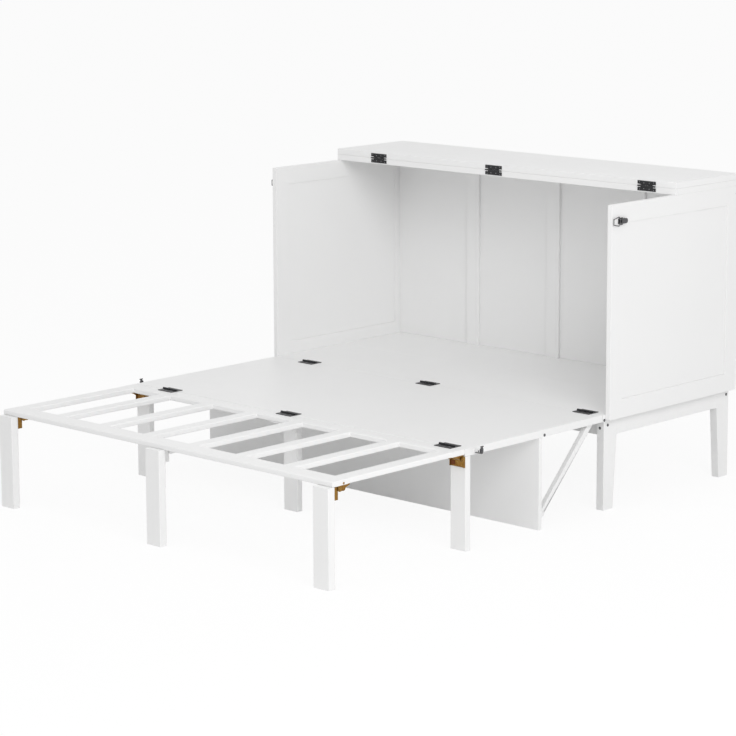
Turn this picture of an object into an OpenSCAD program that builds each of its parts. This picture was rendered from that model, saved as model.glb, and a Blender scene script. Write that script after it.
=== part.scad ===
// Cabinet wall bed, shown opened out: a low cabinet on four tapered legs, whose
// front panel drops down as a deck and unfolds into a slatted foot end.
// X runs across the bed, Y from the foot end to the cabinet, Z up.
// The origin is on the floor, under the middle of the whole bed.

/* [Bed] */
// Width of the deck and of the slatted foot end
bed_w = 1600; // [1500:1:1900]
// Height of the sleeping surface above the floor
sleep_h = 343; // [320:1:380]
// Length of the slatted foot end
slat_len = 617; // [600:1:660]
// Length of the deck panel, which closes the cabinet
deck_len = 716; // [700:1:800]
// Thickness of the deck panel
deck_t = 25; // [20:1:30]
// Thickness of the slatted board
slat_t = 18; // [15:1:22]
// Gap between boards at a fold line
seam = 1; // [0.6:0.2:2]
// Chamfer on the edges of the slatted board
edge = 3; // [2.6:0.1:3.4]
// Chamfer on the long edges of the deck, the lid and the rear top
panel_edge = 1; // [0.6:0.2:2]

/* [Slats] */
// Number of slats between the side rails
slat_count = 6; // [4:1:6]
// Width of a slat
slat_w = 50; // [36:1:60]
// Distance from one slat to the next
slat_pitch = 223; // [200:1:226]
// Width of each side rail
side_rail_w = 58; // [50:1:70]
// Width of the rail at the foot end
front_rail_w = 72; // [60:1:90]
// Width of the rail beside the deck
rear_rail_w = 64; // [56:1:90]

/* [Cabinet] */
// Gap between the deck and each side panel
side_clear = 3; // [2:0.5:5]
// Thickness of the side panels
side_t = 19; // [16:1:26]
// Depth of the side panels from front to back
cabinet_depth = 734; // [690:1:800]
// Distance from the deck's fold line back to the side panels
sill = 12; // [10:1:16]
// Height of the side panels' lower edge above the underside of the floor
side_lift = 6; // [2:1:10]
// Gap left above the closed deck panel
lid_clear = 8; // [4:1:14]
// Width of the frame round each recessed side panel
stile_w = 67; // [50:1:90]
// Depth of the recess on each face of a side panel
recess = 2.5; // [1.5:0.5:5]
// Thickness of the floor boards
floor_t = 25; // [20:1:30]
// Length of the cabinet floor's front board
floor_front_len = 370; // [300:1:450]
// Thickness of the back panel
back_t = 16; // [10:1:20]
// Distance from the back panel to the rear edges of the side panels
back_inset = 24; // [10:1:30]
// Width of the battens on the back panel
batten_w = 62; // [50:1:90]
// Thickness of the battens
batten_t = 10; // [6:1:16]
// Distance between the battens
batten_pitch = 405; // [300:1:430]
// Thickness of the rear top and of the lid
top_t = 22; // [18:1:28]
// How far the closed lid reaches past the side panels, before its hinge gap
top_overhang = 18; // [10:1:30]
// Gap under the folded lid
lid_gap = 0.3; // [0.3:0.1:0.6]

/* [Cabinet base] */
// Distance from the side panel's inner face in to the outer face of a leg
base_inset = 10; // [4:1:20]
// Thickness of a cabinet leg, across the bed
base_leg_t = 30; // [24:1:40]
// Width of a cabinet leg at the top
base_leg_w = 72; // [60:1:90]
// Width of a cabinet leg at the floor
base_leg_foot = 53; // [36:1:56]
// Distance from the side panel's front edge back to a front leg
base_leg_set = 5; // [2:1:10]
// Height of the aprons
apron_h = 56; // [40:1:80]
// Thickness of the aprons
apron_t = 18; // [14:1:24]
// Distance from a leg's outer face in to the front or rear apron
apron_set = 15; // [8:1:24]
// Distance from the side panels' rear edges forward to the rear legs
rear_leg_set = 1; // [0.5:0.5:6]

/* [Foot legs] */
// Width of a leg at the foot end
foot_leg_w = 67; // [56:1:80]
// Thickness of a leg at the foot end
foot_leg_t = 30; // [24:1:34]
// How far the foot legs stand proud of the front rail
leg_proud = 20; // [12:1:22]
// Distance of the middle legs to the left of the bed's centre line
leg_mid_off = 6.5; // [0:0.5:40]
// Distance from a foot leg's rear face back to its pivot
foot_pivot_y = 37; // [36:1:42]
// Distance from the rails' underside down to a leg's pivot
pivot_drop = 14; // [13:0.5:16]

/* [Middle legs] */
// Width of a leg at the fold between the slats and the deck
mid_leg_w = 66; // [60:1:80]
// Thickness of such a leg
mid_leg_t = 25; // [20:1:26]
// Distance from the fold line back to such a leg
mid_leg_set = 2; // [1.5:0.5:6]
// Distance from such a leg's front face forward to its pivot
mid_pivot_y = 10; // [9.5:0.5:12]

/* [Leg brackets] */
// Thickness of the bracket metal
bracket_t = 2.5; // [2:0.1:3]
// Width over the cheeks of a foot leg's bracket
foot_bracket_w = 40; // [36:1:46]
// Width over the cheeks of a middle leg's bracket
mid_bracket_w = 52; // [44:1:52]
// Length of the bracket plate behind the pivot of a foot leg
foot_tail = 44; // [38:1:60]
// Length of the bracket plate in front of the pivot of a middle leg
mid_tail = 58; // [50:1:66]
// Radius of a cheek round the pivot
cheek_r = 9; // [8:0.5:9]
// Distance from a foot leg's pivot back to the second lobe of its cheeks
lobe_y = 16; // [12:1:18]
// How far a foot leg's strap reaches below the pivot
strap_h = 34; // [28:1:50]
// Distance from the rear edge of that strap back to the pivot
strap_back = 6; // [4:0.5:12]
// How far a middle leg's plate reaches below the pivot
arm_h = 30; // [24:1:50]
// Distance of that plate's ends in from the sides of the leg
arm_inset = 1.5; // [1.5:0.5:4]
// Radius of the pivot rivet
rivet_r = 3; // [2:0.5:4]
// Gap between an arm's ear and the cheek beside it
ear_gap = 1; // [0.5:0.1:1.5]

/* [Support board] */
// Distance from the deck's fold at the cabinet forward to the board
board_y = 326; // [300:1:335]
// Thickness of the board
board_t = 16; // [14:1:25]
// How far the board reaches past the deck's left side
board_left = 12; // [0:1:16]
// How far the board reaches past the deck's right side
board_right = 2; // [0:1:16]
// Height of the brace's pivot above the floor
brace_pivot_z = 50; // [40:1:80]
// Distance from the board's rear face back to the brace's pivot
brace_pivot_y = 19; // [17:1:24]
// Depth of a brace, seen from the side
brace_d = 21; // [18:1:24]
// Width of a brace, across the bed
brace_w = 18; // [14:1:40]
// Distance from the deck's side in to a brace
brace_in = 13; // [10:1:60]
// Slope of the braces
brace_slope = 46; // [44:1:50]
// Height of the cleats that the braces stand against
cleat_h = 5; // [4:1:20]
// Length of those cleats
cleat_len = 14; // [10:1:30]

/* [Folding hinges] */
// Width of the hinges on the deck's fold lines
fold_hinge_w = 72; // [60:1:110]
// Reach of each hinge leaf from the fold line
fold_leaf = 27.5; // [20:0.5:40]
// Thickness of a hinge leaf
fold_leaf_t = 2.2; // [1.6:0.1:2.2]
// Height of the hinge pin above the boards
pin_h = 4; // [3.8:0.1:4.6]
// Radius of the hinge pins
pin_r = 1.5; // [1:0.1:1.6]
// Distance of the left hinges in from the deck's side
hinge_in_left = 183; // [100:1:300]
// Distance of the right hinges in from the deck's side
hinge_in_right = 75; // [60:1:200]
// Distance of the middle hinges to the left of the centre line
hinge_mid_off = 11; // [0:1:60]

/* [Lid hinges] */
// Width of the leaves of a lid hinge
lid_hinge_w = 80; // [70:1:100]
// Width of its barrel
lid_barrel_w = 78; // [60:1:80]
// Height of each leaf from the pin
lid_leaf = 18; // [12:1:18]
// Thickness of such a leaf
lid_leaf_t = 1.5; // [1.2:0.1:1.5]
// Length of the notch at each end, between leaf and barrel
lid_notch = 12; // [6:1:14]
// Height of that notch
lid_notch_h = 3; // [1:0.5:4]
// Radius of the barrel
lid_barrel_r = 2.4; // [2.2:0.1:3]
// Radius of the pin
lid_pin_r = 1; // [0.8:0.1:1.2]

/* [Latches] */
// Distance from the closed deck's upper edge down to a latch
latch_drop = 50; // [40:1:100]
// Distance from a side panel's front edge back to the latch base
latch_set = 33; // [30:1:60]
// Length of the latch base
latch_len = 36; // [34:1:60]
// Height of the latch base
latch_h = 18; // [17:1:24]
// Height of the bail's loop at the latch base
bail_h = 34.4; // [32:0.2:44]
// Height of the loop at its front end
bail_tip = 22; // [20:1:30]
// Length of the bail's loop in front of the base
bail_out = 31.5; // [24:0.5:36]
// Radius of the bail's wire
wire_r = 1.5; // [1.2:0.1:1.8]
// Distance from the side panel out to the latch's pivot
latch_pin_x = 6; // [5:0.5:8]
// Distance from the lever's pivot back to the bail's pivot
throw = 10; // [8:0.5:10]
// Width of the deck's catch at its top
strike_w = 15; // [10:1:16]
// Height of that catch above the deck
strike_up = 7; // [3:0.5:8]

/* [Fasteners] */
// Radius of the bolt heads
bolt_r = 5; // [3:0.5:5]
// Height of the bolt heads
bolt_h = 2.5; // [1.5:0.1:3]
// Gap between a bolt head and the nearest edge of a board's end
bolt_edge = 1; // [0.5:0.1:3]
// Distance from the side panels' rear edges forward to their bolts
side_bolt_y = 13; // [8:1:40]
// Distance from the side panels' tops down to those bolts
side_bolt_z = 26.7; // [10:0.1:50]
// Distance from a front leg's front face back to the bolt in its side
leg_bolt_y = 21; // [10:1:50]
// Distance from a front leg's top down to that bolt
leg_bolt_z = 17; // [8:1:40]
// Distance from the side panels' rear edges forward to the bolts in the rear legs
rear_bolt_y = 16; // [8:1:50]
// Distance from a rear leg's top down to its bolt
rear_bolt_z = 14; // [8:1:40]
// Distance from a front leg's outer face in to the bolt in its front
face_bolt_x = 17; // [8:1:22]
// Distance from a front leg's top down to that bolt
face_bolt_z = 27; // [8:1:40]
// Distance from the support board back to the bolts in the deck's sides
deck_bolt_y = 14; // [0:1:40]

/* [Hidden] */
$fn = 24;

// Clearance of a pin in its bore, and a small gap between pieces that slide or seat
run = 0.05;
fit = 0.3;

// Gap between two knuckles of a hinge, and the gap between its barrel and a leaf
knuckle_gap = 0.5;
leaf_gap = 0.4;

// Places along the bed, from the foot end to the cabinet's rear edge
total_len = leg_proud + slat_len + deck_len + sill + cabinet_depth;
foot_y = -total_len / 2;
slat_y = foot_y + leg_proud;
fold2_y = slat_y + slat_len;
fold1_y = fold2_y + deck_len;
side_y = fold1_y + sill;
rear_y = side_y + cabinet_depth;
back_y = rear_y - back_inset - back_t;
top_y = rear_y - (cabinet_depth + top_overhang) / 2;

// Places across the bed
half_bed = bed_w / 2;
half_in = half_bed + side_clear;
half_out = half_in + side_t;
base_x = half_in - base_inset;

// Heights
deck_z = sleep_h - deck_t;
rail_z = sleep_h - slat_t;
floor_z = sleep_h - floor_t;
pin_z = sleep_h + pin_h;
side_z = floor_z + side_lift;
roof_z = pin_z + deck_len + lid_clear;
lid_z = roof_z + top_t + lid_gap;
fold_barrel_r = pin_h - 0.2;

// Legs under the slatted board: places across the bed, from the left
leg_out = half_bed + side_clear / 2;
foot_xs = [-leg_out + foot_leg_w / 2, -leg_mid_off, leg_out - foot_leg_w / 2];
mid_xs = [-leg_out + mid_leg_w / 2, -leg_mid_off, leg_out - mid_leg_w / 2];
pivot_z = rail_z - pivot_drop;
foot_pin_y = foot_y + foot_leg_t + foot_pivot_y;
mid_leg_y = fold2_y + mid_leg_set;
mid_pin_y = mid_leg_y - mid_pivot_y;

// Places of the fold hinges, from the left
hinge_xs = [-half_bed + hinge_in_left, -hinge_mid_off, half_bed - hinge_in_right];
lid_hinge_in = 128;
lid_hinge_left = 222;
lid_hinge_mid = 17;
lid_xs = [-half_out + lid_hinge_left, -lid_hinge_mid, half_out - lid_hinge_in];

// The lid's pin stands off just far enough for the barrel to clear the chamfered edges
lid_pin_y = ceil(10 * ((lid_barrel_r + fit) * sqrt(2) - panel_edge - lid_gap / 2)) / 10;

// Support board, its hinge and its braces
board_face = fold1_y - board_y - board_t;
board_pin = 3;
board_pin_y = board_face - board_pin;
board_pin_z = deck_z - board_pin;
board_barrel_r = 2.8;
board_leaf_t = 2;
board_hinge_w = 70;
board_leaf = 32;
board_hinge_pitch = 600;
brace_x = half_bed - brace_in - brace_w;
brace_y = board_face + board_t + brace_pivot_y;
brace_rise = deck_z - fit - brace_pivot_z;
brace_pin_r = 4;
brace_plate_t = 2;

// Latch
lever_pin_set = 6;
lever_pin_r = 1.4;
latch_z = pin_z + deck_len - latch_drop;
latch_y = side_y + latch_set;
latch_x = half_out + latch_pin_x;
lever_pin_y = latch_y + lever_pin_set;
bail_pin_y = lever_pin_y + throw;
latch_ear_t = 1.5;
latch_ear_r = 3.2;
strike_y = fold1_y - (latch_z - pin_z);

// A plain board between two corners
module board(x0, x1, y0, y1, z0, z1) {
    translate([x0, y0, z0])
        cube([x1 - x0, y1 - y0, z1 - z0]);
}

// Outline of a board's section with its four edges chamfered
function eased(a0, a1, b0, b1, c) = [
    [a0 + c, b0], [a1 - c, b0], [a1, b0 + c], [a1, b1 - c],
    [a1 - c, b1], [a0 + c, b1], [a0, b1 - c], [a0, b0 + c]
];

// A section drawn in Y and Z, drawn out along X
module along_x(x0, x1) {
    translate([x0, 0, 0])
        rotate([90, 0, 90])
            linear_extrude(x1 - x0)
                children();
}

// A section drawn in X and Z, drawn out along Y
module along_y(y0, y1) {
    translate([0, y1, 0])
        rotate([90, 0, 0])
            linear_extrude(y1 - y0)
                children();
}

// A board with eased edges along X
module board_x(x0, x1, y0, y1, z0, z1, c = edge) {
    along_x(x0, x1)
        polygon(eased(y0, y1, z0, z1, c));
}

// A board with eased edges along Y
module board_y_edges(x0, x1, y0, y1, z0, z1, c = edge) {
    along_y(y0, y1)
        polygon(eased(x0, x1, z0, z1, c));
}

// A round rod along X, centred on x
module rod_x(x, y, z, r, len) {
    translate([x - len / 2, y, z])
        rotate([0, 90, 0])
            cylinder(r = r, h = len);
}

// Cabinet carcass

module side_frame(s) {
    color("white")
        mirror([s < 0 ? 1 : 0, 0, 0])
            difference() {
                board(half_in, half_out, side_y, rear_y, side_z, roof_z);
                board(half_in - 1, half_out + 1, side_y + stile_w, rear_y - stile_w,
                      side_z + stile_w, roof_z - stile_w);
            }
}

module side_inset(s) {
    color("whitesmoke")
        mirror([s < 0 ? 1 : 0, 0, 0])
            board(half_in + recess, half_out - recess, side_y + stile_w, rear_y - stile_w,
                  side_z + stile_w, roof_z - stile_w);
}

module back_panel() {
    color("whitesmoke")
        board(-half_in, half_in, back_y, back_y + back_t, sleep_h, roof_z);
}

module back_battens() {
    color("white")
        for (i = [-1:1])
            translate([i * batten_pitch, 0, 0])
                board(-batten_w / 2, batten_w / 2, back_y - batten_t, back_y, sleep_h, roof_z);
}

module floor_front() {
    color("white")
        board(-half_in, half_in, fold1_y + seam / 2, fold1_y + floor_front_len, floor_z, sleep_h);
}

module floor_rear() {
    color("white")
        board(-half_in, half_in, fold1_y + floor_front_len + seam / 2, back_y + back_t,
              floor_z, sleep_h);
}

module rear_top() {
    color("white")
        board_x(-half_out, half_out, top_y, rear_y, roof_z, roof_z + top_t, panel_edge);
}

// Base under the cabinet

module base_leg(s, rear) {
    y0 = rear ? rear_y - rear_leg_set - base_leg_w : side_y + base_leg_set;
    y1 = y0 + base_leg_w;
    cut = base_leg_w - base_leg_foot;
    knee = floor_z - apron_h;
    color("white")
        mirror([s < 0 ? 1 : 0, 0, 0])
            along_x(base_x - base_leg_t, base_x)
                polygon(rear
                    ? [[y0 + cut, 0], [y1, 0], [y1, floor_z], [y0, floor_z], [y0, knee]]
                    : [[y0, 0], [y1 - cut, 0], [y1, knee], [y1, floor_z], [y0, floor_z]]);
}

module front_apron() {
    y0 = side_y + base_leg_set + apron_set;
    color("white")
        board(-base_x + base_leg_t, base_x - base_leg_t, y0, y0 + apron_t,
              floor_z - apron_h, floor_z);
}

module rear_apron() {
    y1 = rear_y - rear_leg_set - apron_set;
    color("white")
        board(-base_x + base_leg_t, base_x - base_leg_t, y1 - apron_t, y1,
              floor_z - apron_h, floor_z);
}

module side_apron(s) {
    color("white")
        mirror([s < 0 ? 1 : 0, 0, 0])
            board(base_x - apron_t, base_x, side_y + base_leg_set + base_leg_w,
                  rear_y - rear_leg_set - base_leg_w, floor_z - apron_h, floor_z);
}

// Bolt heads. A head is a low dome with a hexagon socket.
module bolt_head() {
    difference() {
        intersection() {
            cylinder(r = bolt_r, h = bolt_h);
            translate([0, 0, bolt_h - 2 * bolt_r])
                sphere(r = 2 * bolt_r);
        }
        translate([0, 0, bolt_h / 2])
            cylinder(r = bolt_r / 2, h = bolt_h, $fn = 6);
    }
}

module bolt_x(x, y, z) {
    translate([x, y, z])
        rotate([0, 90, 0])
            bolt_head();
}

module cabinet_bolts() {
    leg_front = side_y + base_leg_set;
    color("dimgray")
        for (s = [0, 1])
            mirror([s, 0, 0]) {
                bolt_x(half_out, rear_y - side_bolt_y, roof_z - side_bolt_z);
                bolt_x(half_in, fold1_y + seam / 2 + bolt_r + bolt_edge / 2,
                       floor_z + bolt_r + bolt_edge);
                bolt_x(base_x, leg_front + leg_bolt_y, floor_z - leg_bolt_z);
                bolt_x(base_x, rear_y - rear_bolt_y, floor_z - rear_bolt_z);
                translate([base_x - face_bolt_x, leg_front, floor_z - face_bolt_z])
                    rotate([90, 0, 0])
                        bolt_head();
            }
}

// Lid, folded back on the rear top

module lid_panel() {
    color("white")
        board_x(-half_out, half_out, top_y, rear_y, lid_z, lid_z + top_t, panel_edge);
}

// Barrel of a hinge along X round the origin: every second knuckle, with its bore
module barrel(w, count, first, r, bore) {
    part_w = w / count;
    for (i = [first:2:count - 1])
        rod_bored(-w / 2 + i * part_w + knuckle_gap / 2, part_w - knuckle_gap, r, bore);
}

// A tube along X from x
module rod_bored(x, len, r, bore) {
    translate([x, 0, 0])
        rotate([0, 90, 0])
            difference() {
                cylinder(r = r, h = len);
                translate([0, 0, -1])
                    cylinder(r = bore, h = len + 2);
            }
}

// Roots that tie the same knuckles to a leaf, between y0, y1 and z0, z1
module roots(w, count, first, y0, y1, z0, z1) {
    part_w = w / count;
    for (i = [first:2:count - 1])
        translate([-w / 2 + i * part_w + knuckle_gap / 2, 0, 0])
            board(0, part_w - knuckle_gap, y0, y1, z0, z1);
}

// Leaf of a lid hinge below the pin, with a notch at each end beside the barrel.
// The other leaf is the same, turned over.
module lid_leaf_below(first) {
    leaf_top = -lid_barrel_r - leaf_gap;
    barrel(lid_barrel_w, 5, first, lid_barrel_r, lid_pin_r + run);
    difference() {
        union() {
            roots(lid_barrel_w, 5, first, lid_pin_y - lid_leaf_t, lid_pin_y,
                  leaf_top - leaf_gap, -lid_pin_r - leaf_gap);
            board(-lid_hinge_w / 2, lid_hinge_w / 2, lid_pin_y - lid_leaf_t, lid_pin_y,
                  -lid_leaf, leaf_top);
        }
        for (s = [0, 1])
            mirror([s, 0, 0])
                board(lid_barrel_w / 2 - lid_notch, lid_hinge_w, -lid_leaf, lid_leaf,
                      leaf_top - lid_notch_h, 0);
    }
}

module lid_hinges_fixed() {
    color("dimgray")
        for (x = lid_xs)
            translate([x, top_y - lid_pin_y, lid_z])
                lid_leaf_below(0);
}

module lid_hinges_moving() {
    color("dimgray")
        for (x = lid_xs)
            translate([x, top_y - lid_pin_y, lid_z])
                mirror([0, 0, 1])
                    lid_leaf_below(1);
}

module lid_hinge_pins() {
    color("gray")
        for (x = lid_xs)
            rod_x(x, top_y - lid_pin_y, lid_z, lid_pin_r, lid_barrel_w);
}

// Hinges on the two fold lines of the bed

// Leaf on the rear side of a fold hinge. The leaf on the front side mirrors it.
module fold_leaf_rear(first) {
    half = (fold_hinge_w - knuckle_gap) / 2;
    barrel(fold_hinge_w, 5, first, fold_barrel_r, pin_r + run);
    roots(fold_hinge_w, 5, first, pin_r + leaf_gap, fold_barrel_r + 2 * leaf_gap,
          -pin_h, -pin_h + fold_leaf_t);
    board(-half, half, fold_barrel_r + leaf_gap, fold_leaf, -pin_h, -pin_h + fold_leaf_t);
}

module fold_hinges(y, rear) {
    color("dimgray")
        for (x = hinge_xs)
            translate([x, y, pin_z])
                mirror([0, rear ? 0 : 1, 0])
                    fold_leaf_rear(rear ? 0 : 1);
}

module fold_pins(y) {
    color("gray")
        for (x = hinge_xs)
            rod_x(x, y, pin_z, pin_r, fold_hinge_w);
}

// Deck panel

module deck_panel() {
    color("white")
        board_x(-half_bed, half_bed, fold2_y + seam / 2, fold1_y - seam / 2, deck_z, sleep_h,
                panel_edge);
}

module deck_bolts() {
    color("dimgray")
        for (s = [0, 1])
            mirror([s, 0, 0])
                bolt_x(half_bed, board_face + board_t + deck_bolt_y, deck_z + bolt_r + bolt_edge);
}

// Catches that the latch bails hook. Each has a round base on the deck's side edge, an
// arm out past the side panel and a stem up to a cross bar.
module latch_strikes() {
    reach = latch_pin_x + side_clear + side_t + 3;
    metal = 2;
    stem = 8;
    foot = deck_t / 2 - 4;
    top = deck_t / 2 + strike_up;
    color("silver")
        for (s = [0, 1])
            mirror([s, 0, 0])
                translate([half_bed, strike_y, deck_z + deck_t / 2]) {
                    along_x(0, metal)
                        union() {
                            circle(r = foot);
                            translate([0, -foot * 0.7])
                                square([1.5 * foot, 1.4 * foot]);
                        }
                    board(0, reach, -stem / 2, stem / 2, -foot / 2 - metal, -foot / 2);
                    board(reach - metal, reach, -stem / 2, stem / 2, -foot / 2 - metal, top);
                    board(reach - metal, reach, -strike_w / 2, strike_w / 2, top - stem / 2, top);
                }
}

// Slatted foot end: rails and slats with eased edges, cut from one board
module slat_frame() {
    y0 = slat_y;
    y1 = fold2_y - seam / 2;
    z0 = rail_z;
    z1 = sleep_h;
    color("white")
        union() {
            board_x(-half_bed, half_bed, y0, y0 + front_rail_w, z0, z1);
            board_x(-half_bed, half_bed, y1 - rear_rail_w, y1, z0, z1);
            for (s = [0, 1])
                mirror([s, 0, 0])
                    board_y_edges(half_bed - side_rail_w, half_bed, y0 + edge, y1 - edge, z0, z1);
            for (i = [1:slat_count])
                board_y_edges(half_bed - side_rail_w - i * slat_pitch,
                              half_bed - side_rail_w - i * slat_pitch + slat_w,
                              y0 + front_rail_w - 2 * edge, y1 - rear_rail_w + 2 * edge, z0, z1);
        }
}

// Folding leg brackets.
// The plate stays under the frame: a flat leaf with two cheeks down to the pivot.
// It is drawn with the pivot at the origin and the leaf running to +Y.
module leg_plate(w, back, tail, lobe) {
    top = pivot_drop;
    tail_h = 6;
    color("goldenrod")
        difference() {
            union() {
                board(-w / 2, w / 2, -back, tail, top - bracket_t, top);
                for (s = [-1, 1])
                    translate([s * (w - bracket_t) / 2 - bracket_t / 2, 0, 0])
                        along_x(0, bracket_t) {
                            circle(r = cheek_r);
                            polygon([
                                [-min(cheek_r, back), top - bracket_t / 2],
                                [-cheek_r * 0.9, 0],
                                [cheek_r * 0.9, cheek_r * 0.35],
                                [tail * 0.9, top - bracket_t / 2]
                            ]);
                            if (lobe > 0) {
                                translate([lobe, 0])
                                    circle(r = cheek_r * 0.95);
                                polygon([
                                    [0, -cheek_r * 0.9],
                                    [lobe, -cheek_r * 0.85],
                                    [lobe + cheek_r * 0.9, 0],
                                    [tail, top - tail_h],
                                    [tail, top - bracket_t / 2],
                                    [0, top - bracket_t / 2]
                                ]);
                            }
                        }
            }
            rod_x(0, 0, 0, rivet_r + run, 2 * w);
        }
}

// The arm is screwed to the leg and turns on the same rivet: a plate on the leg, from low
// to high, with an ear at each end. It is drawn with the leg on the -Y side.
module leg_arm(half, reach, low, high, ear, top) {
    difference() {
        union() {
            board(-half, half, -reach, -reach + bracket_t, low, high);
            for (s = [-1, 1])
                translate([s * (half - bracket_t / 2) - bracket_t / 2, 0, 0])
                    along_x(0, bracket_t) {
                        circle(r = cheek_r - 1);
                        polygon([
                            [-reach, low],
                            [-ear, low],
                            [-ear, 0],
                            [0, 0],
                            [0, top],
                            [-reach, top]
                        ]);
                    }
        }
        rod_x(0, 0, 0, rivet_r + run, 4 * half);
    }
}

module leg_pin(w) {
    head_t = 1.2;
    color("darkgoldenrod")
        union() {
            rod_x(0, 0, 0, rivet_r, w + 2 * fit);
            for (s = [-1, 1])
                rod_x(s * (w / 2 + fit + head_t / 2), 0, 0, rivet_r + 2, head_t);
        }
}

module at_foot_pivot(i) {
    translate([foot_xs[i], foot_pin_y, pivot_z])
        children();
}

module at_mid_pivot(i) {
    translate([mid_xs[i], mid_pin_y, pivot_z])
        mirror([0, 1, 0])
            children();
}

module leg_plates() {
    for (i = [0:2]) {
        at_foot_pivot(i)
            leg_plate(foot_bracket_w, foot_pivot_y / 2, foot_tail, lobe_y);
        at_mid_pivot(i)
            leg_plate(mid_bracket_w, mid_pivot_y - bracket_t, mid_tail, 0);
    }
}

module leg_pins() {
    for (i = [0:2]) {
        at_foot_pivot(i)
            leg_pin(foot_bracket_w);
        at_mid_pivot(i)
            leg_pin(mid_leg_w - 2 * arm_inset);
    }
}

module foot_arm(i) {
    color(i == 1 ? "white" : "goldenrod")
        at_foot_pivot(i)
            leg_arm(foot_bracket_w / 2 - bracket_t - ear_gap, foot_pivot_y, -strap_h,
                    cheek_r - 1.5, strap_back, cheek_r - 1.5);
}

module mid_arm(i) {
    color(i == 1 ? "white" : "goldenrod")
        at_mid_pivot(i)
            leg_arm(mid_leg_w / 2 - arm_inset, mid_pivot_y, -arm_h, -cheek_r + 1.8, 0.3 * mid_pivot_y,
                    deck_z - pivot_z - 3 * fit);
}

module foot_leg(i) {
    color("white")
        translate([foot_xs[i], foot_y, 0])
            linear_extrude(rail_z)
                polygon(eased(-foot_leg_w / 2, foot_leg_w / 2, 0, foot_leg_t, edge / 2));
}

module mid_leg(i) {
    color("white")
        translate([mid_xs[i], mid_leg_y, 0])
            linear_extrude(deck_z - fit)
                polygon(eased(-mid_leg_w / 2, mid_leg_w / 2, 0, mid_leg_t, edge / 2));
}

// Support board under the deck, on butt hinges along its front top edge

module support_board() {
    color("white")
        board(-half_bed - board_left, half_bed + board_right,
              board_face, board_face + board_t, 0, deck_z - fit);
}

module at_board_hinges() {
    for (i = [-1:1])
        translate([i * board_hinge_pitch, board_pin_y, board_pin_z])
            children();
}

module board_hinges_deck() {
    root = -board_barrel_r - leaf_gap;
    color("dimgray")
        at_board_hinges() {
            barrel(board_hinge_w, 5, 1, board_barrel_r, pin_r + run);
            roots(board_hinge_w, 5, 1, root - leaf_gap, -pin_r - leaf_gap,
                  board_pin - board_leaf_t, board_pin);
            board(-board_hinge_w / 2, board_hinge_w / 2, -board_leaf, root,
                  board_pin - board_leaf_t, board_pin);
        }
}

module board_hinges_board() {
    root = -board_barrel_r - leaf_gap;
    color("dimgray")
        at_board_hinges() {
            barrel(board_hinge_w, 5, 0, board_barrel_r, pin_r + run);
            roots(board_hinge_w, 5, 0, board_pin - board_leaf_t, board_pin,
                  root - leaf_gap, -pin_r - leaf_gap);
            board(-board_hinge_w / 2, board_hinge_w / 2, board_pin - board_leaf_t, board_pin,
                  -board_leaf, root);
            rod_x(0, 0, 0, pin_r, board_hinge_w);
        }
}

// Brackets on the board's rear face, each with the pin that its brace turns on
module brace_brackets() {
    ear_t = 3;
    ear_r = 9;
    ear_x = brace_w / 2 + 0.5;
    plate_h = 32;
    back = brace_pivot_y;
    color("white")
        for (s = [0, 1])
            mirror([s, 0, 0])
                translate([brace_x + brace_w / 2, brace_y, brace_pivot_z]) {
                    board(-ear_x - ear_t, ear_x + ear_t, -back, -back + brace_plate_t,
                          -plate_h / 2, plate_h / 2);
                    for (e = [-1, 1])
                        translate([e * (ear_x + ear_t / 2) - ear_t / 2, 0, 0])
                            along_x(0, ear_t)
                                union() {
                                    circle(r = ear_r);
                                    translate([-back, -ear_r])
                                        square([back, 2 * ear_r]);
                                }
                    rod_x(0, 0, 0, brace_pin_r, 2 * (ear_x + ear_t));
                }
}

// Brace: a straight strut with its top end cut level and its lower end cut upright,
// just clear of the bracket's plate
module brace(s) {
    run_y = brace_rise / tan(brace_slope);
    up_y = brace_d / 2 / sin(brace_slope);
    up_z = brace_d / 2 / cos(brace_slope);
    cut_y = brace_pivot_y - brace_plate_t - 0.7;
    cut_z = -cut_y * tan(brace_slope);
    color("white")
        mirror([s < 0 ? 1 : 0, 0, 0])
            translate([0, brace_y, brace_pivot_z])
                along_x(brace_x, brace_x + brace_w)
                    difference() {
                        polygon([
                            [-cut_y, cut_z - up_z],
                            [run_y + up_y, brace_rise],
                            [run_y - up_y, brace_rise],
                            [-cut_y, cut_z + up_z]
                        ]);
                        circle(r = brace_pin_r + run);
                    }
}

// Cleats on the deck that the braces stand against
module brace_cleats() {
    run_y = brace_rise / tan(brace_slope);
    up_y = brace_d / 2 / sin(brace_slope);
    y0 = brace_y + run_y + up_y + fit;
    color("white")
        for (s = [0, 1])
            mirror([s, 0, 0])
                board(brace_x, brace_x + brace_w, y0, y0 + cleat_len, deck_z - cleat_h, deck_z);
}

// Draw latches on the outer faces of the side panels

module at_latch(s) {
    mirror([s < 0 ? 1 : 0, 0, 0])
        translate([latch_x, lever_pin_y, latch_z])
            children();
}

// Base plate with two ears and the pin that the lever turns on
module latch_base(s) {
    plate_t = 1.5;
    pin_sink = 0.4;
    ear_z = latch_h / 2 - latch_ear_r;
    color("silver")
        at_latch(s) {
            board(-latch_pin_x, -latch_pin_x + plate_t, -lever_pin_set,
                  latch_len - lever_pin_set, -latch_h / 2, latch_h / 2);
            for (e = [-1, 1])
                translate([0, 0, e * ear_z - latch_ear_t / 2])
                    linear_extrude(latch_ear_t) {
                        circle(r = latch_ear_r);
                        translate([-latch_pin_x, -latch_ear_r])
                            square([latch_pin_x, 2 * latch_ear_r]);
                    }
            translate([0, 0, -latch_h / 2 + pin_sink])
                cylinder(r = lever_pin_r, h = latch_h - 2 * pin_sink);
        }
}

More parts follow.
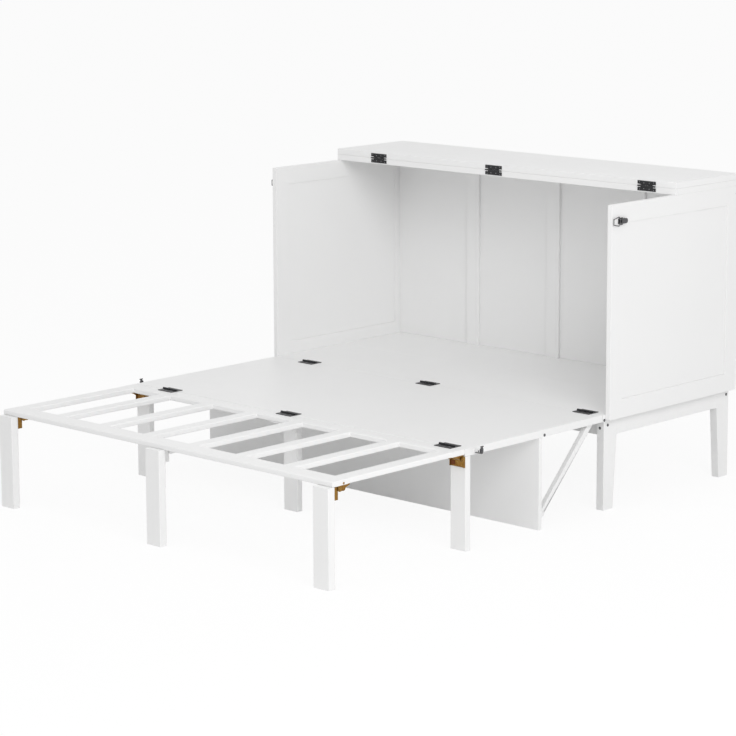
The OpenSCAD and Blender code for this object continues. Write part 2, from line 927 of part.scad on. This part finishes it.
// Lever: a channel with two side walls, turning on the base's pin
module latch_lever(s) {
    wall = 1.2;
    eye_r = 3.4;
    web_y = 5;
    tip = latch_len - 8;
    color("silver")
        at_latch(s)
            difference() {
                union() {
                    for (e = [-1, 1])
                        translate([0, 0, e * (latch_h / 2 - wall / 2) - wall / 2])
                            linear_extrude(wall) {
                                circle(r = eye_r);
                                translate([eye_r - 6, 0])
                                    square([6, tip - 8]);
                            }
                    translate([eye_r - wall, web_y, -latch_h / 2])
                        cube([wall, tip - web_y, latch_h]);
                    translate([eye_r - wall, tip, 0])
                        rotate([0, 90, 0])
                            cylinder(r = latch_h / 2, h = wall);
                }
                translate([0, 0, -latch_h])
                    cylinder(r = lever_pin_r + run, h = 2 * latch_h);
                translate([0, throw, -latch_h])
                    cylinder(r = wire_r + run, h = 2 * latch_h);
            }
}

// Bail: a wire loop whose two ends turn in the lever's side walls.
// The wire is a touch thicker where it is bent.
module latch_bail(s) {
    swell = 0.3;
    front = -lever_pin_set - bail_out + wire_r - throw;
    tip = bail_tip / 2 - wire_r;
    side = bail_h / 2 - wire_r;
    neck = latch_h / 2 + wire_r + 1;
    bend = -lever_pin_set - throw - 2;
    bend_run = 4;
    grip = 1.4;
    color("gray")
        at_latch(s)
            translate([0, throw, 0]) {
                translate([0, front, 0])
                    cylinder(r = wire_r, h = 2 * tip, center = true);
                for (e = [-1, 1]) {
                    wire_yz([front, e * tip], [bend, e * side]);
                    wire_yz([bend, e * side], [bend + bend_run, e * neck]);
                    wire_yz([bend + bend_run, e * neck], [0, e * neck]);
                    translate([0, 0, e > 0 ? latch_h / 2 - grip : -neck])
                        cylinder(r = wire_r, h = neck - latch_h / 2 + grip);
                    for (p = [[front, tip], [bend, side], [bend + bend_run, neck], [0, neck]])
                        translate([0, p.x, e * p.y])
                            sphere(r = wire_r + swell);
                }
            }
}

// A straight wire between two points given in Y and Z
module wire_yz(a, b) {
    d = b - a;
    translate([0, a.x, a.y])
        rotate([-atan2(d.x, d.y), 0, 0])
            cylinder(r = wire_r, h = norm(d));
}

side_frame(-1);  // side_frame_left
side_frame(1);  // side_frame_right
side_inset(-1);  // side_inset_left
side_inset(1);  // side_inset_right
back_panel();
back_battens();
floor_front();
floor_rear();
front_apron();
rear_apron();
side_apron(-1);  // side_apron_left
side_apron(1);  // side_apron_right
base_leg(-1, false);  // base_leg_front_left
base_leg(1, false);  // base_leg_front_right
base_leg(-1, true);  // base_leg_rear_left
base_leg(1, true);  // base_leg_rear_right
rear_top();
lid_hinges_fixed();
fold_hinges(fold1_y, true);  // deck_hinges_floor
fold_pins(fold1_y);  // deck_hinge_pins
cabinet_bolts();
latch_base(-1);  // latch_base_left
latch_base(1);  // latch_base_right
lid_panel();
lid_hinges_moving();
lid_hinge_pins();
deck_panel();
fold_hinges(fold1_y, false);  // deck_hinges_deck
fold_hinges(fold2_y, true);  // slat_hinges_deck
fold_pins(fold2_y);  // slat_hinge_pins
board_hinges_deck();
latch_strikes();
deck_bolts();
brace_cleats();
slat_frame();
fold_hinges(fold2_y, false);  // slat_hinges_slat
leg_plates();
leg_pins();
foot_leg(0);  // foot_leg_left
foot_leg(1);  // foot_leg_middle
foot_leg(2);  // foot_leg_right
foot_arm(0);  // foot_arm_left
foot_arm(1);  // foot_arm_middle
foot_arm(2);  // foot_arm_right
mid_leg(0);  // mid_leg_left
mid_leg(1);  // mid_leg_middle
mid_leg(2);  // mid_leg_right
mid_arm(0);  // mid_arm_left
mid_arm(1);  // mid_arm_middle
mid_arm(2);  // mid_arm_right
support_board();
board_hinges_board();
brace_brackets();
brace(-1);  // brace_left
brace(1);  // brace_right
latch_lever(-1);  // latch_lever_left
latch_lever(1);  // latch_lever_right
latch_bail(-1);  // latch_bail_left
latch_bail(1);  // latch_bail_right
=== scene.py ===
"""Looks of the cabinet wall bed: painted board, black hinges, zinc brackets, plain studio."""
import math

import bmesh
import bpy
from mathutils import Matrix, Vector


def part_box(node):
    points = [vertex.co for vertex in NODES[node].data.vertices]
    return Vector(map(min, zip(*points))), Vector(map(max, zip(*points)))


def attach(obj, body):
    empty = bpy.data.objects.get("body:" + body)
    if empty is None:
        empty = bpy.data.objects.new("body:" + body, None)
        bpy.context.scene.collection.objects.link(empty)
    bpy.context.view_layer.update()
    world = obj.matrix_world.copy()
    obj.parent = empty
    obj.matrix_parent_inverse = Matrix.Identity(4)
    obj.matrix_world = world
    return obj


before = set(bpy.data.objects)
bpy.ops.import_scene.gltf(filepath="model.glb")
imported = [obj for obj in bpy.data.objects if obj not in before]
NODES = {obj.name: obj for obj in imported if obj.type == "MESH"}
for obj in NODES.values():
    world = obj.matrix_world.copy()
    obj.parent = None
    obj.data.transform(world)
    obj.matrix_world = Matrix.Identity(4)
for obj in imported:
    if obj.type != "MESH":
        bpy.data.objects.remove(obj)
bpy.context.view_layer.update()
MM = 0.001

# Colours, as linear red, green and blue
PAINT = (0.88, 0.88, 0.878)
PAINT_SHADE = (0.852, 0.852, 0.851)
BLACK = (0.022, 0.022, 0.024)
BLACK_WORN = (0.20, 0.20, 0.205)
ZINC = (0.36, 0.19, 0.042)
ZINC_DARK = (0.17, 0.075, 0.012)
ZINC_GREEN = (0.34, 0.25, 0.075)
# A painted highlight, put on the edges of the zinc rivets and screws
ZINC_PAINTED_HIGHLIGHT = (0.80, 0.60, 0.27)
BROWN = (0.150, 0.040, 0.006)
STEEL = (0.125, 0.125, 0.130)
STEEL_WORN = (0.42, 0.42, 0.43)
STEEL_DARK = (0.13, 0.13, 0.14)
BOLT = (0.10, 0.10, 0.105)
STEEL_EDGE = (0.4, 0.4, 0.4)
BOLT_EDGE = (0.4, 0.4, 0.41)
BLACK_SHEEN = (0.034, 0.034, 0.037)
FLOOR_SEEN = (0.99, 0.99, 0.99)
FLOOR_LIGHT = (0.96, 0.96, 0.96)
FLOOR_LIGHT_SHADE = (0.94, 0.94, 0.94)
WHITE = (1, 1, 1, 1)
FLOOR_SIZE = 160

# Radii of the screw heads
HINGE_SCREW = 3.4 * MM
LID_SCREW = 2.2 * MM
ARM_SCREW = 2.8 * MM
RAIL_SCREW = 4 * MM
CATCH_SCREW = 3.6 * MM

# Edges take their own colour this far from an edge: wear on most metal, a painted highlight on the
# zinc rivets and screws. Brackets at the middle of the bed are white
EDGE_BAND = 0.0005
WHITE_BRACKETS = 0.2
WHITE_CATCH_BASE = 0.8025
BARE_METAL = 0.9


# Materials

class Mat:
    """A principled material that is built up node by node."""

    def __init__(self, name):
        self.mat = bpy.data.materials.new(name)
        self.mat.use_nodes = True
        self.tree = self.mat.node_tree
        self.shader = self.tree.nodes["Principled BSDF"]
        self.coord = self.add("ShaderNodeTexCoord").outputs["Object"]

    def add(self, kind, **values):
        node = self.tree.nodes.new(kind)
        for key, value in values.items():
            setattr(node, key, value)
        return node

    def link(self, source, target):
        self.tree.links.new(source, target)

    def set(self, **values):
        for key, value in values.items():
            self.shader.inputs[key.replace("_", " ")].default_value = value

    def noise(self, scale, detail=4.0, rough=0.5, stretch=None):
        node = self.add("ShaderNodeTexNoise")
        node.inputs["Scale"].default_value = scale
        node.inputs["Detail"].default_value = detail
        node.inputs["Roughness"].default_value = rough
        if stretch:
            squeeze = self.add("ShaderNodeMapping")
            squeeze.inputs["Scale"].default_value = stretch
            self.link(self.coord, squeeze.inputs["Vector"])
            self.link(squeeze.outputs["Vector"], node.inputs["Vector"])
        else:
            self.link(self.coord, node.inputs["Vector"])
        return node.outputs["Fac"]

    def ramp(self, source, stops):
        node = self.add("ShaderNodeValToRGB")
        elements = node.color_ramp.elements
        while len(elements) < len(stops):
            elements.new(0.5)
        for element, (place, colour) in zip(elements, stops):
            element.position = place
            element.color = (*colour, 1) if len(colour) == 3 else colour
        self.link(source, node.inputs["Fac"])
        return node.outputs["Color"]

    def mix(self, factor, a, b):
        node = self.add("ShaderNodeMix", data_type="RGBA")
        for socket, value in ((node.inputs[0], factor), (node.inputs[6], a), (node.inputs[7], b)):
            if isinstance(value, bpy.types.NodeSocket):
                self.link(value, socket)
            elif isinstance(value, tuple):
                socket.default_value = (*value, 1)
            else:
                socket.default_value = value
        return node.outputs[2]

    def span(self, source, low, high):
        node = self.add("ShaderNodeMapRange")
        node.inputs["From Min"].default_value = 0.3
        node.inputs["From Max"].default_value = 0.7
        node.inputs["To Min"].default_value = low
        node.inputs["To Max"].default_value = high
        self.link(source, node.inputs["Value"])
        return node.outputs["Result"]

    def edges(self, radius, low=0.02, high=0.30):
        """About 1 on convex and concave edges, and 0 on flat faces."""
        bevel = self.add("ShaderNodeBevel", samples=6)
        bevel.inputs["Radius"].default_value = radius
        flat = self.add("ShaderNodeNewGeometry").outputs["Normal"]
        turn = self.add("ShaderNodeVectorMath", operation="DISTANCE")
        self.link(bevel.outputs["Normal"], turn.inputs[0])
        self.link(flat, turn.inputs[1])
        mask = self.add("ShaderNodeMapRange")
        mask.inputs["From Min"].default_value = low
        mask.inputs["From Max"].default_value = high
        self.link(turn.outputs["Value"], mask.inputs["Value"])
        return mask.outputs["Result"]

    def near_middle(self, limit):
        """1 within limit of the plane x = 0, and 0 outside it."""
        apart = self.add("ShaderNodeSeparateXYZ")
        self.link(self.coord, apart.inputs[0])
        size = self.add("ShaderNodeMath", operation="ABSOLUTE")
        self.link(apart.outputs["X"], size.inputs[0])
        inside = self.add("ShaderNodeMath", operation="LESS_THAN")
        inside.inputs[1].default_value = limit
        self.link(size.outputs[0], inside.inputs[0])
        return inside.outputs[0]

    def coat(self, tone, metal, white_within):
        """Gives the piece its tone and metal, but white paint near the middle of the bed."""
        if not white_within:
            self.link(tone, self.shader.inputs["Base Color"])
            self.set(Metallic=metal)
            return
        white = self.near_middle(white_within)
        self.link(self.mix(white, tone, PAINT), self.shader.inputs["Base Color"])
        share = self.add("ShaderNodeMapRange")
        share.inputs["To Min"].default_value = metal
        share.inputs["To Max"].default_value = 0.0
        self.link(white, share.inputs["Value"])
        self.link(share.outputs["Result"], self.shader.inputs["Metallic"])

    def bump(self, height, distance, strength=1.0, after=None):
        node = self.add("ShaderNodeBump")
        node.inputs["Distance"].default_value = distance
        node.inputs["Strength"].default_value = strength
        self.link(height, node.inputs["Height"])
        if after:
            self.link(after, node.inputs["Normal"])
        return node.outputs["Normal"]


def paint(name, colour, shade, along):
    """Satin white paint on smooth board, with a faint roller texture along the board."""
    m = Mat(name)
    cloud = m.noise(2.3, 3)
    fine = m.noise(38, 5, 0.6, along)
    tone = m.mix(m.span(cloud, 0.0, 0.35), colour, shade)
    tone = m.mix(m.span(fine, 0.0, 0.10), tone, shade)
    m.link(tone, m.shader.inputs["Base Color"])
    m.link(m.span(m.noise(16, 4, 0.55), 0.34, 0.44), m.shader.inputs["Roughness"])
    peel = m.bump(m.noise(420, 3, 0.5), 0.00009, 0.5)
    m.link(m.bump(m.noise(95, 2, 0.5, along), 0.00016, 0.35, peel), m.shader.inputs["Normal"])
    m.set(Specular_IOR_Level=0.42)
    return m.mat


def black_steel():
    """Black coating with brighter worn corners and a faint grain."""
    m = Mat("black_steel")
    wear = m.edges(0.0006)
    spots = m.noise(260, 4, 0.65)
    edging = m.add("ShaderNodeMath", operation="MULTIPLY")
    m.link(wear, edging.inputs[0])
    m.link(m.span(spots, 0.1, 1.0), edging.inputs[1])
    base = m.mix(m.span(m.noise(60, 3), 0.0, 0.5), BLACK, BLACK_SHEEN)
    m.link(m.mix(edging.outputs[0], base, BLACK_WORN), m.shader.inputs["Base Color"])
    m.link(m.span(m.noise(190, 4), 0.30, 0.46), m.shader.inputs["Roughness"])
    m.link(m.bump(m.noise(900, 3), 0.00006, 0.5), m.shader.inputs["Normal"])
    m.set(Metallic=0.55)
    return m.mat


def yellow_zinc(name, dark, edging, white_within=0.0):
    """Yellow zinc plating: brassy, with greenish and darker patches, and edges in a colour of their
    own: wear on the plates, a painted highlight on the rivets and screws.
    """
    m = Mat(name)
    patch = m.ramp(m.noise(55, 5, 0.6), ((0.30, ZINC_DARK), (0.52, ZINC), (0.74, ZINC_GREEN)))
    streak = m.noise(30, 4, 0.6, (1, 14, 1))
    tone = m.mix(m.span(streak, dark, dark + 0.35), patch, ZINC_DARK)
    # On the rivets and screws these brighter edges are a painted highlight; on the plates they are
    # wear
    m.coat(m.mix(m.edges(EDGE_BAND), tone, edging), BARE_METAL, white_within)
    m.link(m.span(m.noise(140, 4), 0.28, 0.46), m.shader.inputs["Roughness"])
    m.link(m.bump(m.noise(700, 3), 0.00006, 0.5), m.shader.inputs["Normal"])
    return m.mat


def plain_steel(name, colour, edging, rough, white_within=0.0):
    """Bare or darkened steel with drawn lines and brighter edges."""
    m = Mat(name)
    lines = m.noise(120, 4, 0.6, (1, 1, 22))
    tone = m.mix(m.span(lines, 0.0, 0.5), colour, tuple(0.7 * c for c in colour))
    m.coat(m.mix(m.edges(EDGE_BAND), tone, edging), BARE_METAL, white_within)
    m.link(m.span(m.noise(210, 4), rough, rough + 0.14), m.shader.inputs["Roughness"])
    m.link(m.bump(lines, 0.00004, 0.5), m.shader.inputs["Normal"])
    return m.mat


def coated_steel():
    """White coating on folded steel, a little glossier than the paint on the boards."""
    m = Mat("white_steel")
    m.link(m.mix(m.span(m.noise(14, 4), 0.0, 0.6), PAINT, PAINT_SHADE), m.shader.inputs["Base Color"])
    m.link(m.span(m.noise(90, 4), 0.24, 0.34), m.shader.inputs["Roughness"])
    m.link(m.bump(m.noise(600, 3), 0.00007, 0.5), m.shader.inputs["Normal"])
    return m.mat


def brown_end_plate():
    """Dark brown finish of a small rounded plate at one end of each outer bracket at the fold."""
    m = Mat("brown_end_plate")
    m.link(m.mix(m.span(m.noise(160, 4), 0.0, 1.0), BROWN, tuple(1.4 * c for c in BROWN)),
           m.shader.inputs["Base Color"])
    m.link(m.span(m.noise(300, 3), 0.38, 0.52), m.shader.inputs["Roughness"])
    m.link(m.bump(m.noise(1100, 3), 0.00005, 0.6), m.shader.inputs["Normal"])
    m.set(Specular_IOR_Level=0.2)
    return m.mat


PAINT_X = paint("paint_across", PAINT, PAINT_SHADE, (1, 9, 9))
PAINT_Y = paint("paint_along", PAINT, PAINT_SHADE, (9, 1, 9))
PAINT_Z = paint("paint_upright", PAINT, PAINT_SHADE, (9, 9, 1))
BLACK_STEEL = black_steel()
WHITE_STEEL = coated_steel()
ZINC_PLATE = yellow_zinc("yellow_zinc", 0.0, ZINC_GREEN, WHITE_BRACKETS)
# Rivets and zinc screws, with a painted highlight on their edges
ZINC_RIVET = yellow_zinc("rivet_zinc", 0.0, ZINC_PAINTED_HIGHLIGHT, WHITE_BRACKETS)
END_PLATE_BROWN = brown_end_plate()
LATCH_STEEL = plain_steel("latch_steel", STEEL, STEEL_WORN, 0.34)
CATCH_STEEL = plain_steel("catch_steel", STEEL, STEEL_WORN, 0.34, WHITE_CATCH_BASE)
PIN_STEEL = plain_steel("pin_steel", STEEL_DARK, STEEL_EDGE, 0.3)
BOLT_STEEL = plain_steel("bolt_steel", BOLT, BOLT_EDGE, 0.34)


def material_of(node):
    if node.endswith("_pins") and node != "leg_pins":
        return PIN_STEEL
    if node == "leg_pins":
        return ZINC_RIVET
    if "hinges" in node:
        return BLACK_STEEL
    if node == "brace_brackets" or node.endswith("arm_middle"):
        return WHITE_STEEL
    if node == "leg_plates" or "_arm_" in node:
        return ZINC_PLATE
    if node == "latch_strikes":
        return CATCH_STEEL
    if node.startswith("latch"):
        return LATCH_STEEL
    if node.endswith("bolts"):
        return BOLT_STEEL
    low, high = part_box(node)
    size = high - low
    if "leg" in node or "side_" in node and "apron" not in node or node.startswith("back"):
        return PAINT_Z
    if node.startswith("brace") or size.y > size.x:
        return PAINT_Y
    return PAINT_X


METAL = (BLACK_STEEL, WHITE_STEEL, ZINC_PLATE, ZINC_RIVET, LATCH_STEEL, CATCH_STEEL, PIN_STEEL,
         BOLT_STEEL)
EASED = ("deck_panel", "lid_panel", "rear_top")
EASED_EDGE = 0.4 * MM
BOARD_EDGE = 1.1 * MM


def soften(piece, width):
    """Rounds a piece's sharp edges by a small bevel."""
    weld = piece.modifiers.new("weld", "WELD")
    weld.merge_threshold = 0.00002
    bevel = piece.modifiers.new("soft_edges", "BEVEL")
    bevel.width = width
    bevel.segments = 2
    bevel.limit_method = "ANGLE"
    bevel.angle_limit = math.radians(32)
    bevel.harden_normals = False
    bevel.use_clamp_overlap = True


for name, piece in NODES.items():
    finish = material_of(name)
    piece.data.materials.clear()
    piece.data.materials.append(finish)
    if finish not in METAL:
        soften(piece, EASED_EDGE if name in EASED else BOARD_EDGE)


# Small fasteners

def spans(node, gap=0.1):
    """The stretches along X that a node's separate pieces take up."""
    places = sorted(v.co.x for v in NODES[node].data.vertices)
    found = [[places[0], places[0]]]
    for x in places:
        if x - found[-1][1] > gap:
            found.append([x, x])
        found[-1][1] = x
    return found


def add_screw(bm, centre, normal, radius, turn):
    """A low domed screw head with a cross recess, its face along normal."""
    steps = 24
    rings = ((1.0, 0.0), (0.97, 0.10), (0.86, 0.20), (0.62, 0.27), (0.34, 0.30))
    spin = Vector((0, 0, 1)).rotation_difference(normal).to_matrix().to_4x4()
    place = Matrix.Translation(centre) @ spin @ Matrix.Rotation(turn, 4, "Z")
    loops = []
    for share, height in rings:
        loop = []
        for k in range(steps):
            angle = 2 * math.pi * k / steps
            arm = k % (steps // 4) == 0
            deep = 0.30 if arm and share < 0.9 else 0.0
            point = Vector((math.cos(angle) * share, math.sin(angle) * share, height - deep))
            loop.append(bm.verts.new(place @ (point * radius)))
        loops.append(loop)
    tip = bm.verts.new(place @ Vector((0, 0, 0.02 * radius)))
    for outer, inner in zip(loops, loops[1:]):
        for k in range(steps):
            bm.faces.new((outer[k], outer[(k + 1) % steps], inner[(k + 1) % steps], inner[k]))
    for k in range(steps):
        bm.faces.new((loops[-1][k], loops[-1][(k + 1) % steps], tip))


def screws(name, body, material, radius, places):
    """One piece that holds a group of screws: places are pairs of a point and a normal."""
    mesh = bpy.data.meshes.new(name)
    bm = bmesh.new()
    for number, (point, normal) in enumerate(places):
        add_screw(bm, Vector(point), Vector(normal), radius, 0.4 + 1.3 * number)
    bm.to_mesh(mesh)
    bm.free()
    for face in mesh.polygons:
        face.use_smooth = True
    piece = bpy.data.objects.new(name, mesh)
    bpy.context.scene.collection.objects.link(piece)
    mesh.materials.append(material)
    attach(piece, body)
    return piece


def fold_hinge_screws(node, body, side, leaf_t=2.2 * MM):
    """Three screws on each leaf of a fold hinge. side is 1 for a leaf behind its pin."""
    barrel = 4 * MM
    low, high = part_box(node)
    top = low.z + leaf_t
    near = low.y if side > 0 else high.y
    places = []
    for x0, x1 in spans(node):
        middle, half = (x0 + x1) / 2, (x1 - x0) / 2
        for share, reach in ((-0.62, 0.48), (0.0, 0.78), (0.62, 0.48)):
            y = near + side * (barrel + reach * (high.y - low.y - barrel))
            places.append(((middle + share * half, y, top), (0, 0, 1)))
    screws(node + "_screws", body, PIN_STEEL, HINGE_SCREW, places)


fold_hinge_screws("deck_hinges_floor", "cabinet", 1)
fold_hinge_screws("deck_hinges_deck", "deck", -1)
fold_hinge_screws("slat_hinges_deck", "deck", 1)
fold_hinge_screws("slat_hinges_slat", "foot_end", -1)


def lid_hinge_screws(node, body, side):
    """Four screws in a row on each leaf of a lid hinge, which stands on the board's edge."""
    leaf_t, outer_rise, inner_rise = 1.5 * MM, 4.6 * MM, 7.6 * MM
    low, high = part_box(node)
    front = high.y - leaf_t
    far = low.z if side < 0 else high.z
    places = []
    for x0, x1 in spans(node):
        middle, half = (x0 + x1) / 2, (x1 - x0) / 2
        for share in (-0.78, -0.3, 0.3, 0.78):
            rise = outer_rise if abs(share) > 0.5 else inner_rise
            places.append(((middle + share * half, front, far - side * rise), (0, -1, 0)))
    screws(node + "_screws", body, PIN_STEEL, LID_SCREW, places)


lid_hinge_screws("lid_hinges_fixed", "cabinet", -1)
lid_hinge_screws("lid_hinges_moving", "lid", 1)


def arm_screws(row, side, facing, places):
    """Screws in the plate of a leg arm: places are in mm from its middle and its lower edge."""
    plate_t = 2.5 * MM
    node = f"{row}_arm_{side}"
    low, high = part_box(node)
    face = low.y + plate_t if facing > 0 else high.y - plate_t
    middle = (low.x + high.x) / 2
    points = [((middle + dx * MM, face, low.z + dz * MM), (0, facing, 0)) for dx, dz in places]
    plated = side != "middle"
    # Zinc screws on the outer arms have the painted highlight on their edges
    screws(node + "_screws", f"{row}_leg_{side}",
           ZINC_RIVET if plated else WHITE_STEEL, ARM_SCREW, points)


def rounded_plate(name, body, material, centre, size, round_by):
    """A small plate with rounded corners; size gives its extent along X, Y and Z."""
    mesh = bpy.data.meshes.new(name)
    bm = bmesh.new()
    bmesh.ops.create_cube(bm, size=1.0)
    thin = min(range(3), key=lambda axis: size[axis])
    bmesh.ops.transform(bm, matrix=Matrix.Diagonal((*size, 1)), verts=bm.verts)
    corners = [e for e in bm.edges if abs((e.verts[0].co - e.verts[1].co)[thin]) > 1e-6]
    bmesh.ops.bevel(bm, geom=corners, offset=round_by, segments=8, affect="EDGES", profile=0.5)
    rims = [e for e in bm.edges if abs((e.verts[0].co - e.verts[1].co)[thin]) < 1e-6]
    bmesh.ops.bevel(bm, geom=rims, offset=0.2 * size[thin], segments=2, affect="EDGES", profile=0.5)
    bmesh.ops.translate(bm, vec=Vector(centre), verts=bm.verts)
    bm.to_mesh(mesh)
    bm.free()
    piece = bpy.data.objects.new(name, mesh)
    bpy.context.scene.collection.objects.link(piece)
    mesh.materials.append(material)
    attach(piece, body)


for side in ("left", "middle", "right"):
    arm_screws("foot", side, 1, ((-8, 8), (8, 8), (-8, 22), (8, 22)))
    arm_screws("mid", side, -1, ((-18, 6), (18, 6), (0, 16)))

# Dark brown rounded plates on the outer brackets at the fold, at the ends that face the bed's middle
for side, sign in (("left", 1), ("right", -1)):
    low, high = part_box(f"mid_arm_{side}")
    middle, half = (low.x + high.x) / 2, (high.x - low.x) / 2
    rounded_plate(f"mid_brown_end_{side}", f"mid_leg_{side}", END_PLATE_BROWN,
                  (middle + sign * (half - 12 * MM), high.y - 3.1 * MM, low.z + 12 * MM),
                  (19 * MM, 1.4 * MM, 15 * MM), 2.5 * MM)

# Screws in the sides of the bed: one above each outer foot bracket, one behind each catch
frame_low, frame_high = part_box("slat_frame")
catch_low, catch_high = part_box("latch_strikes")
pin_low, pin_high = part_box("leg_pins")
# These zinc screws have the painted highlight on their edges
screws("rail_screws", "foot_end", ZINC_RIVET, RAIL_SCREW,
       [((sign * frame_high.x, pin_low.y + 9 * MM, frame_low.z + 6 * MM), (sign, 0, 0))
        for sign in (-1, 1)])
screws("catch_screws", "deck", BOLT_STEEL, CATCH_SCREW,
       [((sign * frame_high.x, catch_high.y + 4 * MM, catch_low.z + 3 * MM), (sign, 0, 0))
        for sign in (-1, 1)])

# Round face of each catch, just behind its stem
for side, sign in (("left", -1), ("right", 1)):
    rounded_plate(f"catch_face_{side}", "deck", LATCH_STEEL,
                  (sign * (catch_high.x - 2.8 * MM), (catch_low.y + catch_high.y) / 2 - 2.1 * MM,
                   catch_low.z + 12 * MM),
                  (1.6 * MM, 18 * MM, 19 * MM), 6 * MM)


# Stage, lights and camera

def plainly_seen(tree):
    """1 for a ray that shows the stage itself or its mirror image, 0 for one that lights."""
    path = tree.nodes.new("ShaderNodeLightPath")
    value = path.outputs["Is Camera Ray"]
    for kind in ("Is Glossy Ray", "Is Transmission Ray"):
        most = tree.nodes.new("ShaderNodeMath")
        most.operation = "MAXIMUM"
        tree.links.new(value, most.inputs[0])
        tree.links.new(path.outputs[kind], most.inputs[1])
        value = most.outputs[0]
    return value


def floor(shadow):
    """A white floor. shadow is the strength of the shadows that it shows."""
    bpy.ops.mesh.primitive_plane_add(size=FLOOR_SIZE)
    ground = bpy.context.object
    ground.name = "floor"
    m = Mat("floor_white")
    seen = plainly_seen(m.tree)
    lighting = m.mix(m.span(m.noise(0.6, 3), 0, 1), FLOOR_LIGHT, FLOOR_LIGHT_SHADE)
    m.link(m.mix(seen, lighting, FLOOR_SEEN), m.shader.inputs["Base Color"])
    m.set(Roughness=0.9, Specular_IOR_Level=0.1)
    glow = m.add("ShaderNodeEmission")
    glow.inputs["Color"].default_value = WHITE
    share = m.add("ShaderNodeMath", operation="MULTIPLY")
    share.inputs[1].default_value = 1 - shadow
    m.link(seen, share.inputs[0])
    blend = m.add("ShaderNodeMixShader")
    m.link(share.outputs[0], blend.inputs[0])
    m.link(m.shader.outputs[0], blend.inputs[1])
    m.link(glow.outputs[0], blend.inputs[2])
    m.link(blend.outputs[0], m.tree.nodes["Material Output"].inputs["Surface"])
    ground.data.materials.append(m.mat)


def sky(level):
    """An even white sky that lights at level and is seen as plain white."""
    world = bpy.data.worlds.new("studio")
    bpy.context.scene.world = world
    world.use_nodes = True
    tree = world.node_tree
    tree.nodes.clear()
    out = tree.nodes.new("ShaderNodeOutputWorld")
    lit, seen = tree.nodes.new("ShaderNodeBackground"), tree.nodes.new("ShaderNodeBackground")
    lit.inputs["Color"].default_value = WHITE
    lit.inputs["Strength"].default_value = level
    seen.inputs["Color"].default_value = WHITE
    seen.inputs["Strength"].default_value = 1.0
    blend = tree.nodes.new("ShaderNodeMixShader")
    tree.links.new(plainly_seen(tree), blend.inputs[0])
    tree.links.new(lit.outputs[0], blend.inputs[1])
    tree.links.new(seen.outputs[0], blend.inputs[2])
    tree.links.new(blend.outputs[0], out.inputs["Surface"])


def lamp(name, place, target, size, power):
    """A soft round lamp at place that faces target."""
    data = bpy.data.lights.new(name, "AREA")
    data.shape = "DISK"
    data.size = size
    data.energy = power
    light = bpy.data.objects.new(name, data)
    light.location = place
    light.rotation_euler = (Vector(target) - Vector(place)).to_track_quat("-Z", "Y").to_euler()
    bpy.context.scene.collection.objects.link(light)


def camera():
    """The photograph's view. Its upright lines are nearly parallel, hence the small shift."""
    data = bpy.data.cameras.new("camera")
    focal_px, frame_px, shift_px = 2627.4, 736.0, 74.0
    data.sensor_width = 36
    data.lens = data.sensor_width * focal_px / frame_px
    data.shift_y = -shift_px / frame_px
    data.clip_end = 2.5 * FLOOR_SIZE
    view = bpy.data.objects.new("camera", data)
    view.location = (6.3053, -6.6670, 2.2424)
    view.rotation_euler = [math.radians(a) for a in (80.5407, 0.2212, 43.4657)]
    bpy.context.scene.collection.objects.link(view)
    bpy.context.scene.camera = view


floor(shadow=0.1)
sky(level=0.63)
lamp("key", (5.2, -2.6, 3.6), (0, 0.2, 0.5), size=3.5, power=136)
lamp("overhead", (0.8, -2.6, 5.0), (0, -0.3, 0.4), size=4.0, power=40)
camera()
bpy.context.scene.view_settings.view_transform = "Standard"
